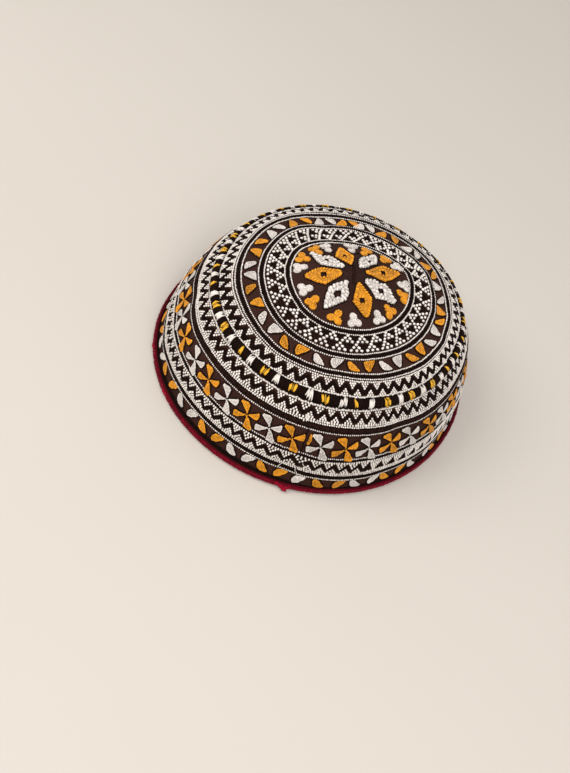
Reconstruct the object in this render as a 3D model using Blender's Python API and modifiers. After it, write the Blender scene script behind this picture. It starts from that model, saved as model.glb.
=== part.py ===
"""An embroidered skullcap: a domed crown and a side band sewn together, with a raised braid
over the seam and a narrow binding folded round the rim.

Metres, +Z up. The cap rests on its rim with the origin on the floor below the middle of the dome.
Y runs along the head, front to back, and X across it. Each piece is first turned flat, as if cut
from flat cloth, and is then shaped over the dome.
"""

import math

import bmesh
import bpy
import numpy as np
from mathutils import Vector

# Driving sizes of the sewn cap
RIM_LENGTH = 0.190
RIM_WIDTH = 0.166
CAP_HEIGHT = 0.067

# Cloth, braid and binding
CROWN_WALL = 0.0024
BAND_WALL = 0.0026
BRAID_WIDTH = 0.0056
BRAID_HEIGHT = 0.0014
BINDING_WALL = 0.0011
BINDING_REACH = 0.0034

# Room that touching pieces keep to each other
FIT_GAP = 0.0003
SEAM_GAP = 0.0005

# How finely the soft forms are divided
SEGMENTS = 88
CROWN_ROWS = 10
BAND_ROWS = 8
BRAID_SIDES = 8

# The half outline from the top of the dome to the rim, at the borders between the embroidered
# rings. Radii are shares of the rim's mean radius, heights are shares of the cloth's own height.
PROFILE = (
    # name, radius, height
    ("top", 0.000, 1.000),
    ("medallion_middle", 0.190, 0.968),
    ("medallion_edge", 0.384, 0.895),
    ("lattice_edge", 0.543, 0.861),
    ("crown_leaf_edge", 0.666, 0.831),
    ("shoulder", 0.732, 0.778),
    ("seam", 0.780, 0.708),
    ("upper_zigzag_edge", 0.881, 0.556),
    ("pinwheel_edge", 0.951, 0.330),
    ("lower_zigzag_edge", 0.972, 0.149),
    ("rim", 1.000, 0.000),
)

# Soft rises and dips in the cloth. Angles are in degrees about Z from +X. Places and reaches are
# shares of the way from the top to the rim, and heights are shares of the cap's height.
FOLDS = (
    # name, angle, spread, place, reach, height
    ("crown_rise_behind", 64.0, 22.0, 0.34, 0.15, 0.036),
    ("crown_dip_behind", 128.0, 26.0, 0.34, 0.16, -0.042),
    ("shoulder_flat_left", 205.0, 16.0, 0.56, 0.10, -0.012),
    ("band_pucker_left", 223.0, 6.0, 0.72, 0.08, -0.022),
    ("band_swell_left", 240.0, 12.0, 0.80, 0.10, 0.012),
    ("band_dip_at_join", 294.0, 6.0, 0.84, 0.10, -0.014),
    ("band_pucker_right", 330.0, 6.0, 0.70, 0.08, -0.018),
    ("band_swell_right", 346.0, 12.0, 0.80, 0.10, 0.010),
    ("band_dip_behind", 88.0, 14.0, 0.76, 0.09, -0.014),
)

# Folds fade out towards the top over the first length, and the cloth turns upright at the rim
# over the last one.
CALM_TOP = 0.010
UPRIGHT_EDGE = 0.009

MATERIALS = {
    # name: base colour, roughness
    "ground_cloth": ((0.030, 0.016, 0.014, 1.0), 0.85),
    "seam_thread": ((0.012, 0.011, 0.012, 1.0), 0.75),
    "binding_braid": ((0.230, 0.006, 0.022, 1.0), 0.80),
}

MEAN_RADIUS = (RIM_LENGTH + RIM_WIDTH) / 4
OVALITY = (RIM_LENGTH - RIM_WIDTH) / (RIM_LENGTH + RIM_WIDTH)
CLOTH_EDGE_Z = BINDING_WALL + FIT_GAP
CURVE_STEPS = 24
SMALL_STEP = 1e-4
WELD_DISTANCE = 1e-6


def smooth_line(points, steps):
    """A Catmull-Rom line through the points, level at its start, with each point's index."""
    mirrored = points[1] * np.array((-1.0, 1.0))
    ends = [mirrored, *points, 2 * points[-1] - points[-2]]
    line, places = [], []
    for before, start, end, after in zip(ends, ends[1:], ends[2:], ends[3:]):
        places.append(len(line))
        for step in range(steps):
            t = step / steps
            line.append(
                0.5 * (2 * start + (end - before) * t
                       + (2 * before - 5 * start + 4 * end - after) * t ** 2
                       + (3 * start - before - 3 * end + after) * t ** 3)
            )
    places.append(len(line))
    line.append(points[-1])
    return np.array(line), places


KNOTS = [np.array((radius * MEAN_RADIUS, CLOTH_EDGE_Z + height * (CAP_HEIGHT - CLOTH_EDGE_Z)))
         for _, radius, height in PROFILE]
OUTLINE, KNOT_PLACES = smooth_line(KNOTS, CURVE_STEPS)
TRAVEL = np.concatenate([[0.0], np.cumsum(np.linalg.norm(np.diff(OUTLINE, axis=0), axis=1))])
CLOTH_LENGTH = TRAVEL[-1]
SEAM_TRAVEL = TRAVEL[KNOT_PLACES[[row[0] for row in PROFILE].index("seam")]]


def smooth_share(value):
    """Eases a share from 0 to 1."""
    value = min(max(value, 0.0), 1.0)
    return value * value * (3 - 2 * value)


def fold_height(angle, travel):
    """How far the cloth stands out of the plain dome, a length down the cloth from the top."""
    height = 0.0
    share = min(travel / CLOTH_LENGTH, 1.0)
    for _, fold_angle, spread, place, reach, rise in FOLDS:
        turn = (math.degrees(angle) - fold_angle + 180) % 360 - 180
        height += rise * math.exp(-(turn / spread) ** 2 - ((share - place) / reach) ** 2)
    return height * CAP_HEIGHT * (1 - math.exp(-(travel / CALM_TOP) ** 2))


def plain_point(angle, travel):
    """The outer face of the dome without its folds."""
    radius = np.interp(travel, TRAVEL, OUTLINE[:, 0]) * (1 - OVALITY * math.cos(2 * angle))
    height = np.interp(travel, TRAVEL, OUTLINE[:, 1]) - max(travel - CLOTH_LENGTH, 0.0)
    return Vector((radius * math.cos(angle), radius * math.sin(angle), height))


def outward(angle, travel):
    """The direction square to the dome, away from the head, and level at the cloth's edge."""
    if travel < SMALL_STEP:
        return Vector((0.0, 0.0, 1.0))
    travel = min(travel, CLOTH_LENGTH - SMALL_STEP)
    down = plain_point(angle, travel + SMALL_STEP) - plain_point(angle, travel - SMALL_STEP)
    around = plain_point(angle + SMALL_STEP, travel) - plain_point(angle - SMALL_STEP, travel)
    direction = down.cross(around)
    to_edge = CLOTH_LENGTH - SMALL_STEP - travel
    direction.z *= smooth_share(to_edge / UPRIGHT_EDGE)
    return direction.normalized()


def cloth_point(angle, travel, offset):
    """A point a length down the cloth, moved out of its outer face by the offset."""
    lift = fold_height(angle, travel) + offset
    return plain_point(angle, travel) + lift * outward(angle, travel)


def shaped_piece(name, section, closed, material, collection):
    """Turns a section flat about Z, then shapes it over the dome.

    Each point of the section is a length down the cloth and an offset out of its outer face.
    """
    count = len(section)
    edges = [(index, index + 1) for index in range(count - 1)]
    if closed:
        edges.append((count - 1, 0))
    flat = bpy.data.meshes.new(name + "_flat")
    flat.from_pydata([(travel, 0.0, offset) for travel, offset in section], edges, [])
    pattern = bpy.data.objects.new(name + "_flat", flat)
    collection.objects.link(pattern)
    screw = pattern.modifiers.new("turn", "SCREW")
    screw.steps = SEGMENTS
    screw.render_steps = SEGMENTS
    screw.use_merge_vertices = True
    screw.merge_threshold = WELD_DISTANCE
    evaluated = pattern.evaluated_get(bpy.context.evaluated_depsgraph_get())
    mesh = bpy.data.meshes.new_from_object(evaluated)
    bpy.data.objects.remove(pattern)

    shape = bmesh.new()
    shape.from_mesh(mesh)
    for vertex in shape.verts:
        x, y, offset = vertex.co
        vertex.co = cloth_point(math.atan2(y, x), math.hypot(x, y), offset)
    bmesh.ops.remove_doubles(shape, verts=shape.verts, dist=WELD_DISTANCE)
    bmesh.ops.recalc_face_normals(shape, faces=shape.faces)
    shape.to_mesh(mesh)
    shape.free()

    mesh.name = name
    mesh.materials.append(material)
    mesh.shade_smooth()
    mesh.set_sharp_from_angle(angle=math.radians(50))
    collection.objects.link(bpy.data.objects.new(name, mesh))


def cloth_wall(first, last, rows, wall):
    """The section of a wall of cloth: down its outer face and back up its inner face."""
    travels = np.linspace(first, last, rows + 1)
    outer = [(travel, 0.0) for travel in travels]
    inner = [(travel, -wall) for travel in reversed(travels)]
    return outer + inner


def braid_section():
    """A low cushion with a flat underside that rides over the seam, clear of both cloths."""
    section = []
    for corner in range(BRAID_SIDES):
        turn = 2 * math.pi * corner / BRAID_SIDES
        lift = FIT_GAP + BRAID_HEIGHT * max(math.sin(turn), 0.0)
        if corner % (BRAID_SIDES // 2) == 0:
            lift += 0.3 * BRAID_HEIGHT
        section.append((SEAM_TRAVEL + BRAID_WIDTH / 2 * math.cos(turn), lift))
    return section


def binding_section():
    """A strip folded round the cloth's lower edge, flat where it rests on the floor."""
    top = CLOTH_LENGTH - BINDING_REACH
    outer, inner = FIT_GAP, -BAND_WALL - FIT_GAP
    fold = CLOTH_LENGTH + FIT_GAP
    floor = CLOTH_LENGTH + CLOTH_EDGE_Z
    return [
        (top, outer),
        (top, outer + BINDING_WALL),
        (floor, outer + BINDING_WALL),
        (floor, inner - BINDING_WALL),
        (top, inner - BINDING_WALL),
        (top, inner),
        (fold, inner),
        (fold, outer),
    ]


def make_material(name):
    """A plain Principled finish in the part's own colour."""
    colour, roughness = MATERIALS[name]
    material = bpy.data.materials.new(name)
    material.use_nodes = True
    shader = material.node_tree.nodes["Principled BSDF"]
    shader.inputs["Base Color"].default_value = colour
    shader.inputs["Roughness"].default_value = roughness
    shader.inputs["Metallic"].default_value = 0.0
    return material


def main():
    for leftover in list(bpy.data.objects):
        bpy.data.objects.remove(leftover)
    collection = bpy.data.collections.new("embroidered_skullcap")
    bpy.context.scene.collection.children.link(collection)
    ground, seam_thread, binding_braid = (make_material(name) for name in MATERIALS)

    crown = cloth_wall(0.0, SEAM_TRAVEL - SEAM_GAP / 2, CROWN_ROWS, CROWN_WALL)
    shaped_piece("crown", crown, False, ground, collection)
    band = cloth_wall(SEAM_TRAVEL + SEAM_GAP / 2, CLOTH_LENGTH, BAND_ROWS, BAND_WALL)
    shaped_piece("side_band", band, True, ground, collection)
    shaped_piece("seam_braid", braid_section(), True, seam_thread, collection)
    shaped_piece("rim_binding", binding_section(), True, binding_braid, collection)


main()
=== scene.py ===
import math
from functools import cache

import bmesh
import bpy
import numpy as np
from mathutils import Matrix, Vector


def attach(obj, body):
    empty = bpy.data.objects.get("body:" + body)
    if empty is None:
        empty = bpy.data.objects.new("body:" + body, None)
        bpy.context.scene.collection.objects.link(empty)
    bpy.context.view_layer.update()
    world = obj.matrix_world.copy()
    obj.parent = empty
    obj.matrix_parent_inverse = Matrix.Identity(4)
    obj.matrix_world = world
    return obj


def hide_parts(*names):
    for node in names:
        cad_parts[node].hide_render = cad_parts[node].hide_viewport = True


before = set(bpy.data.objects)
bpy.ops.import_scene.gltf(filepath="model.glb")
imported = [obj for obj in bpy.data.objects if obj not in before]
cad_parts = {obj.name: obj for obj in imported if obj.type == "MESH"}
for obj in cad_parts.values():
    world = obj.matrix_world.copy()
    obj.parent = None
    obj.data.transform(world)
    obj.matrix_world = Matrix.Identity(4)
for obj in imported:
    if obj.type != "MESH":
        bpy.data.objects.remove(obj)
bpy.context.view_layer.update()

bl_info = {
    "name": "Embroidered skullcap",
    "version": (1, 0, 0),
    "blender": (4, 5, 0),
    "location": "View3D > Sidebar > Skullcap",
    "description": "Sews the embroidery of a domed skullcap, ring by ring, over its ground cloth",
    "category": "Object",
}

MM = 0.001
BODY = "root"

# The form of the cap, with the sizes of its source, in metres
RIM_LENGTH = 0.190
RIM_WIDTH = 0.166
CAP_HEIGHT = 0.067
CROWN_WALL = 0.0024
BAND_WALL = 0.0026
BRAID_WIDTH = 0.0056
BRAID_HEIGHT = 0.0014
BINDING_WALL = 0.0011
FIT_GAP = 0.0003
SEAM_GAP = 0.0005
CALM_TOP = 0.010
UPRIGHT_EDGE = 0.009

PROFILE = (
    # name, radius, height
    ("top", 0.000, 1.000),
    ("medallion_middle", 0.190, 0.968),
    ("medallion_edge", 0.384, 0.895),
    ("lattice_edge", 0.543, 0.861),
    ("crown_leaf_edge", 0.666, 0.831),
    ("shoulder", 0.732, 0.778),
    ("seam", 0.780, 0.708),
    ("upper_zigzag_edge", 0.881, 0.556),
    ("pinwheel_edge", 0.951, 0.330),
    ("lower_zigzag_edge", 0.972, 0.149),
    ("rim", 1.000, 0.000),
)
SEAM_KNOT = 6
FOLDS = (
    # name, angle in degrees, spread, place, reach, height
    ("crown_rise_behind", 64.0, 22.0, 0.34, 0.15, 0.036),
    ("crown_dip_behind", 128.0, 26.0, 0.34, 0.16, -0.042),
    ("shoulder_flat_left", 205.0, 16.0, 0.56, 0.10, -0.012),
    ("band_pucker_left", 223.0, 6.0, 0.72, 0.08, -0.022),
    ("band_swell_left", 240.0, 12.0, 0.80, 0.10, 0.012),
    ("band_dip_at_join", 294.0, 6.0, 0.84, 0.10, -0.014),
    ("band_pucker_right", 330.0, 6.0, 0.70, 0.08, -0.018),
    ("band_swell_right", 346.0, 12.0, 0.80, 0.10, 0.010),
    ("band_dip_behind", 88.0, 14.0, 0.76, 0.09, -0.014),
)
MEAN_RADIUS = (RIM_LENGTH + RIM_WIDTH) / 4
OVALITY = (RIM_LENGTH - RIM_WIDTH) / (RIM_LENGTH + RIM_WIDTH)
CLOTH_EDGE_Z = BINDING_WALL + FIT_GAP
CURVE_STEPS = 24
SMALL_STEP = 2e-4
NEXT_BEARING = 0.002

# Where the rings wander from their even places, as they do in cloth sewn by hand
WANDER_STEP = 10
WANDER = (
    # millimetres down the cloth, and the shift there at every ten degrees from +X, in millimetres
    (20.0, (0,) * 36),
    (35.2, (0.2, 0.3, 0.6, 0.8, 1.0, 1.3, 1.1, -0.3, -1.4, -2.0, -2.2, -1.6, -1.2, -1.2, -1.4, -1.6,
            -1.2, -0.2, 0.7, 0.9, 0.5, 0.3, -0.1, -0.5, -0.5, -0.3, 0.4, 0.6, 0.6, 0.2, -0.2, -0.3,
            -0.3, -0.4, -0.1, 0.1)),
    (49.2, (0.3, 0.5, 0.5, 0.8, 0.5, 0.0, -0.3, -1.7, -2.4, -2.6, -2.4, -1.4, -0.5, -1.0, -1.9,
            -0.8, 0.0, 0.2, 0.0, -0.2, -0.2, -0.6, -0.6, -0.8, -0.6, -0.1, 0.5, 1.0, 0.8, 0.8, 0.3,
            -0.1, -0.6, -0.4, -0.1, 0.2)),
    (60.0, (1.5, 1.6, 0.4, 0.2, -1.2, -1.9, -2.2, -2.6, -2.8, -3.0, -3.0, -3.0, -3.0, -3.0, -3.0,
            -2.2, -1.2, -0.3, 0.2, 0.2, 0.5, 0.5, 0.4, 0.4, 0.4, 0.7, 1.4, 2.0, 1.2, 0.6, -0.2, 0.0,
            0.5, 0.7, 1.2, 1.6)),
    (70.7, (-0.5, -1.0, -1.0, -0.5, 0, 0, 0, 0, 0, 0, 0, 0, 0, 0, 0, 0, 0, 0,
            0, -0.2, -0.3, -0.1, 0.8, 1.0, 0.2, 0.2, 0.1, 0.1, 0.1, -0.2, -0.6, -0.4, -0.5, -0.4,
            0.0, 0.1)),
    (73.6, (0,) * 36),
    (76.8, (-0.7, -0.7, -0.3, 0, 0, 0, 0, 0, 0, 0, 0, 0, 0, 0, 0, 0, 0, 0,
            0, 0, -0.4, -0.8, -0.3, 0.0, 0.1, 0.3, 0.6, 0.8, 0.8, 0.8, 0.7, 0.5, 0.2, 0.3, 0.3,
            -0.4)),
    (86.5, (0.5, -0.5, -1.0, -1.0, -0.6, -0.3, 0, 0, 0, 0, 0, 0, 0, 0, 0, 0, 0, 0,
            0, -0.3, -0.8, -1.2, -1.1, 0.0, 0.5, 0.1, 0.0, 0.0, 0.0, 0.1, 0.2, 0.3, 0.4, 0.3, 0.5,
            0.6)),
    (102.0, (0.1, 0, 0, 0, 0, 0, 0, 0, 0, 0, 0, 0, 0, 0, 0, 0, 0, 0,
             0, 0, 0, -0.3, -0.6, -0.8, -1.0, -0.5, 0.1, 0.3, 0.6, 1.8, 2.9, 2.4, 1.7, 1.1, 0.3,
             0.0)),
    (113.5, (1.2, 0.4, 0, 0, 0, 0, 0, 0, 0, 0, 0, 0, 0, 0, 0, 0, 0, 0,
             0, 0, 0, 0.3, 1.2, 2.4, 0.7, 0.1, -0.3, -0.3, 0.0, 0.6, 2.2, 2.8, 2.9, 2.0, 2.0, 2.2)),
    (121.5, (0.3, 0, 0, 0, 0, 0, 0, 0, 0, 0, 0, 0, 0, 0, 0, 0, 0, 0,
             0, 0, 0, 0, 0, 0, 0, 0, 0, 0, 0, 0.6, 1.9, 2.0, 1.6, 1.1, 1.0, 0.8)),
    (124.4, (0,) * 36),
)

# The heights of the embroidered fields over the cloth, in millimetres, down the cloth
RELIEF = ((0, 0.0), (33, 0.0), (33.8, 0.25), (50.2, 0.25), (51.2, 0.0), (58.2, 0.0), (59, 0.3),
          (70.5, 0.4), (77, 0.4), (88.6, 0.3), (89.6, 0.0), (101, 0.0), (102, 0.3), (115.2, 0.3),
          (116.2, 0.0), (126, 0.0))
CLOTH_SINK = 0.45 * MM
CLOTH_COLUMNS = 144


def smooth_line(points, steps):
    """A Catmull-Rom line through the points, level at its start, with each point's index."""
    mirrored = points[1] * np.array((-1.0, 1.0))
    ends = [mirrored, *points, 2 * points[-1] - points[-2]]
    line, places = [], []
    for before, start, end, after in zip(ends, ends[1:], ends[2:], ends[3:]):
        places.append(len(line))
        for step in range(steps):
            t = step / steps
            line.append(
                0.5 * (2 * start + (end - before) * t
                       + (2 * before - 5 * start + 4 * end - after) * t ** 2
                       + (3 * start - before - 3 * end + after) * t ** 3)
            )
    places.append(len(line))
    line.append(points[-1])
    return np.array(line), places


KNOTS = [np.array((radius * MEAN_RADIUS, CLOTH_EDGE_Z + height * (CAP_HEIGHT - CLOTH_EDGE_Z)))
         for _, radius, height in PROFILE]
OUTLINE, KNOT_PLACES = smooth_line(KNOTS, CURVE_STEPS)
TRAVEL = np.concatenate([[0.0], np.cumsum(np.linalg.norm(np.diff(OUTLINE, axis=0), axis=1))])
CLOTH_LENGTH = TRAVEL[-1]
SEAM_TRAVEL = TRAVEL[KNOT_PLACES[SEAM_KNOT]]


def turn_between(angle, degrees):
    """How far an angle lies from a bearing, in degrees, the short way round."""
    return (np.degrees(angle) - degrees + 180) % 360 - 180


def fold_height(angle, travel):
    """How far the cloth stands out of the plain dome."""
    share = np.minimum(travel / CLOTH_LENGTH, 1.0)
    height = 0.0
    for _, bearing, spread, place, reach, rise in FOLDS:
        height = height + rise * np.exp(-(turn_between(angle, bearing) / spread) ** 2
                                        - ((share - place) / reach) ** 2)
    return height * CAP_HEIGHT * (1 - np.exp(-(travel / CALM_TOP) ** 2))


def ring_radius(angle, travel):
    """The dome's radius at a place on the cloth."""
    return np.interp(travel, TRAVEL, OUTLINE[:, 0]) * (1 - OVALITY * np.cos(2 * angle))


def plain_point(angle, travel):
    """The outer face of the dome without its folds."""
    radius = ring_radius(angle, travel)
    height = np.interp(travel, TRAVEL, OUTLINE[:, 1]) - np.maximum(travel - CLOTH_LENGTH, 0.0)
    return np.stack([radius * np.cos(angle), radius * np.sin(angle), height], -1)


def unit(vectors):
    """The vectors, each made one long."""
    return vectors / np.maximum(np.linalg.norm(vectors, axis=-1, keepdims=True), 1e-12)


def cloth_point(angle, travel, offset):
    """Points a length down the cloth, moved out of its outer face, and the way out there."""
    inner = np.clip(travel, SMALL_STEP, CLOTH_LENGTH - SMALL_STEP)
    down = plain_point(angle, inner + SMALL_STEP) - plain_point(angle, inner - SMALL_STEP)
    around = plain_point(angle + SMALL_STEP, inner) - plain_point(angle - SMALL_STEP, inner)
    face = np.cross(down, around)
    share = np.clip((CLOTH_LENGTH - SMALL_STEP - inner) / UPRIGHT_EDGE, 0, 1)
    face[..., 2] *= share * share * (3 - 2 * share)
    face = unit(face)
    lift = fold_height(angle, travel) + offset
    return plain_point(angle, travel) + lift[..., None] * face, face


def drift(angle, travel):
    """How far down the cloth a ring has wandered, still at the top, the seam and the rim."""
    places = np.array([row[0] for row in WANDER]) * MM
    shifts = np.array([row[1] for row in WANDER]) * MM
    turn = np.degrees(angle) / WANDER_STEP
    before = np.floor(turn).astype(int)
    share = turn - before
    share = share * share * (3 - 2 * share)
    bearings = shifts.shape[1]
    here = (shifts[:, before % bearings] * (1 - share)
            + shifts[:, (before + 1) % bearings] * share)
    row = np.clip(np.searchsorted(places, travel) - 1, 0, len(places) - 2)
    depth = np.clip((travel - places[row]) / (places[row + 1] - places[row]), 0, 1)
    low, high = (np.take_along_axis(here, row[None] + step, 0)[0] for step in (0, 1))
    return low * (1 - depth) + high * depth


def relief(travel):
    """The height of the embroidered field over the cloth."""
    places, heights = zip(*RELIEF)
    return np.interp(travel / MM, places, heights) * MM


def sewn_spot(angle, travel, lift):
    """A place on the embroidered cloth, after the rings have wandered."""
    moved = travel + drift(angle, travel)
    return cloth_point(angle, moved, relief(travel) - CLOTH_SINK + lift)


def sewn_frame(angle, travel, lift):
    """Points on the cloth with the ways around, down and out of it."""
    place, face = sewn_spot(angle, travel, lift)
    around = (sewn_spot(angle + NEXT_BEARING, travel, lift)[0]
              - sewn_spot(angle - NEXT_BEARING, travel, lift)[0])
    around = unit(around - (around * face).sum(-1, keepdims=True) * face)
    fall = np.cross(around, face)
    return place, around, fall, face


# Stitches and the flat shapes that they fill. Flat shapes are in millimetres.
FINE_STEPS = 4
ROW_INSET = 0.3
ROW_STEP = 0.78
ROW_OVERLAP = 1.12
SILK_CHAIN = (1.3, 0.55)


class Stitches:
    """Stitches that wait to be sewn. Angles are in degrees and lengths in millimetres."""

    def __init__(self):
        self.columns = []

    def lay(self, angle, travel, heading, size, shade=0.5, lift=0.0):
        """Adds stitches. A heading of 0 runs round the cap, and 90 down the cloth."""
        rows = np.broadcast_arrays(*map(np.asarray, (angle, travel, heading, *size, shade, lift)))
        self.columns.append(np.stack([row.ravel() for row in rows]).astype(float))

    def table(self):
        """All stitches, a column each, in radians and metres."""
        table = np.concatenate(self.columns, axis=1)
        table[[0, 2]] = np.radians(table[[0, 2]])
        table[[1, 3, 4, 5, 7]] *= MM
        return table


def two_colours():
    return {"white": Stitches(), "orange": Stitches()}


def walk_round(polygon, pitch, inset):
    """Even steps round a closed flat shape, moved inwards, with the way of travel in degrees."""
    corners = np.array(polygon, float)
    following = np.roll(corners, -1, axis=0)
    area = (corners[:, 0] * following[:, 1] - following[:, 0] * corners[:, 1]).sum() / 2
    reach = np.append(0.0, np.cumsum(np.linalg.norm(following - corners, axis=1)))
    closed = np.vstack([corners, corners[:1]])
    count = max(round(reach[-1] / pitch), 3) * FINE_STEPS
    fine = (np.arange(count) + 0.5) / count * reach[-1]
    line = np.stack([np.interp(fine, reach, closed[:, axis]) for axis in (0, 1)], 1)
    for _ in range(2):
        line = (np.roll(line, 1, axis=0) + 2 * line + np.roll(line, -1, axis=0)) / 4
    way = unit(np.roll(line, -1, axis=0) - np.roll(line, 1, axis=0))
    inwards = np.stack([-way[:, 1], way[:, 0]], 1) * (1 if area > 0 else -1)
    line = line + inset * inwards
    return line[::FINE_STEPS], np.degrees(np.arctan2(way[:, 1], way[:, 0]))[::FINE_STEPS]


def crossings(polygon, level):
    """Where a level line enters and leaves a closed flat shape, in order."""
    corners = np.array(polygon, float)
    found = []
    for (x, y), (next_x, next_y) in zip(corners, np.roll(corners, -1, axis=0)):
        if (y > level) != (next_y > level):
            found.append(x + (level - y) / (next_y - y) * (next_x - x))
    found.sort()
    return list(zip(found[0::2], found[1::2]))


def without(spans, gaps):
    """The spans, less the gaps."""
    for low, high in gaps:
        kept = []
        for start, end in spans:
            kept += [(start, min(end, low)), (max(start, high), end)]
        spans = [(start, end) for start, end in kept if end > start]
    return spans


def turned(points, degrees):
    """Flat points turned about the origin."""
    swing = math.radians(degrees)
    x, y = np.array(points, float).T
    return np.column_stack([x * math.cos(swing) - y * math.sin(swing),
                            x * math.sin(swing) + y * math.cos(swing)])


def long_axis(polygon):
    """The heading of a flat shape's longest way, in degrees."""
    corners = walk_round(polygon, 0.5, 0.0)[0]
    spread = np.linalg.svd(corners - corners.mean(0), full_matrices=False)[2][0]
    return math.degrees(math.atan2(spread[1], spread[0]))


def grains(places, heading, length, width):
    """Flat grains, a row each: x, y, heading, length and width."""
    x, y = np.transpose(places)
    return np.column_stack(np.broadcast_arrays(x, y, heading, length, width))


def filled_shape(polygon, grain, heading=None, hole=None, short=0.0):
    """Covers a flat shape with rows cut at its outline, every second row divided elsewhere."""
    length, width = grain
    heading = long_axis(polygon) if heading is None else heading
    shape = turned(polygon, -heading)
    low, high = shape[:, 1].min() + width * ROW_INSET, shape[:, 1].max() - width * ROW_INSET
    count = max(round((high - low) / (width * ROW_STEP)) + 1, 1)
    rows = []
    for index, level in enumerate(np.linspace(low, high, count) if count > 1 else [(low + high) / 2]):
        spans = crossings(shape, level)
        if hole is not None:
            spans = without(spans, crossings(turned(hole, -heading), level))
        for start, end in spans:
            start, end = start + short, end - short
            if end - start < width * 0.5:
                continue
            pieces = max(round((end - start) / length), 1)
            cuts = np.linspace(start, end, pieces + 1)
            if index % 2 and pieces > 1:
                cuts = np.array([start, *(cuts[:-1] + cuts[1:]) / 2, end])
            rows += [((first + second) / 2, level, (second - first) * ROW_OVERLAP)
                     for first, second in zip(cuts, cuts[1:])]
    rows = np.array(rows).reshape(-1, 3)
    return grains(turned(rows[:, :2], heading), heading, rows[:, 2], width)


def silk_shape(polygon, grain, heading=None):
    """A flat shape in silk, with a chain of fat loops round its edge."""
    length, width = SILK_CHAIN
    edge, ways = walk_round(polygon, length * 0.85, width * 0.42)
    return np.vstack([filled_shape(polygon, grain, heading, short=width * 0.35),
                      grains(edge, ways, length, width)])


def edging(polygon, outset, length, width):
    """A dark line of stitches just outside a flat shape."""
    edge, ways = walk_round(polygon, length * 0.9, -outset)
    return grains(edge, ways, length, width)


def lay_on_ring(stitches, shape, angles, travel, height, noise, lift=0.0):
    """Lays a flat shape on a ring, once at each angle: x runs round the cap, y down the cloth."""
    x, y, heading, length, width = shape.T
    angles = np.atleast_1d(angles)[:, None]
    count = len(angles)
    shade = 0.5 + noise.normal(0, 0.26, (count, len(x))) + noise.normal(0, 0.10, (count, 1))
    radius = ring_radius(np.radians(angles), travel * MM) / MM
    stitches.lay(angles + np.degrees(x / radius), travel + y, heading, (length, width, height),
                 shade, lift)


def lay_flat(stitches, shape, height, noise, lift=0.0, middle=0.5):
    """Lays a flat shape on the crown as seen from above: x to the right, y away."""
    x, y, heading, length, width = shape.T
    bearing = np.degrees(np.arctan2(y, x))
    stitches.lay(bearing, np.hypot(x, y), 90 - (heading - bearing), (length, width, height),
                 middle + noise.normal(0, 0.2, len(x)), lift)


class Wire:
    """A socket that can be reckoned with like a number."""

    def __init__(self, net, socket):
        self.net, self.socket = net, socket

    def reckon(self, operation, *others):
        return self.net.maths(operation, self, *others)

    def __add__(self, other):
        return self.reckon("ADD", other)

    def __sub__(self, other):
        return self.reckon("SUBTRACT", other)

    def __rsub__(self, other):
        return self.net.maths("SUBTRACT", other, self)

    def __mul__(self, other):
        return self.reckon("MULTIPLY", other)

    def __pow__(self, other):
        return self.reckon("POWER", other)

    def __abs__(self):
        return self.reckon("ABSOLUTE")

    __radd__ = __add__
    __rmul__ = __mul__


class Net:
    """Adds wired nodes to a shader or geometry tree."""

    def __init__(self, tree):
        self.tree = tree

    def fill(self, node, inputs):
        """Gives sockets, by name or number, their values or wires."""
        for key, value in inputs.items():
            socket = find_socket(node.inputs, key)
            if isinstance(value, Wire):
                self.tree.links.new(value.socket, socket)
            else:
                socket.default_value = value

    def node(self, kind, settings=None, inputs=None, output=None):
        """A node, its settings first, then its sockets. Gives its output back as a wire."""
        node = self.tree.nodes.new(kind)
        for name, value in (settings or {}).items():
            setattr(node, name, value)
        self.fill(node, inputs or {})
        return Wire(self, find_socket(node.outputs, output))

    def maths(self, operation, *values):
        return self.node("ShaderNodeMath", {"operation": operation}, dict(enumerate(values)))

    def vector(self, operation, first, second):
        """A step of vector maths. Only SCALE takes a number second."""
        key = "Scale" if operation == "SCALE" else 1
        return self.node("ShaderNodeVectorMath", {"operation": operation}, {0: first, key: second})

    def split(self, vector):
        return [self.node("ShaderNodeSeparateXYZ", {}, {0: vector}, axis) for axis in "XYZ"]


def find_socket(sockets, key):
    """The socket of that number, or the first live one, of that name if one is given."""
    if isinstance(key, int):
        return sockets[key]
    return next(socket for socket in sockets if socket.enabled and key in (None, socket.name))


SEWING_INPUTS = (
    # name, kind of socket, value where none is given
    ("Geometry", "Geometry", None),
    ("Sides", "Int", 6),
    ("Rings", "Int", 4),
    ("Bluntness", "Float", 0.75),
    ("Arch", "Float", 0.0),
    ("Turn Jitter", "Float", 0.1),
    ("Size Jitter", "Float", 0.1),
    ("Seed", "Int", 1),
    ("Finish", "Material", None),
)
GRAINS = {
    # kind: sides, rings, bluntness, arch, turn jitter in radians, size jitter
    "bead": (6, 3, 0.70, 0.0, math.radians(9), 0.12),
    "silk": (5, 3, 0.50, 0.0, math.radians(4), 0.06),
    "cotton": (5, 3, 0.50, 0.0, math.radians(6), 0.08),
    "lobe": (8, 5, 1.0, 0.0, math.radians(4), 0.07),
    "wrap": (5, 7, 0.60, 2.4, math.radians(3), 0.07),
    "hair": (3, 5, 0.90, 5.0, math.radians(20), 0.30),
}
CARRIED = ("run", "face", "size")
STITCH_RISE = 0.3


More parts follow.
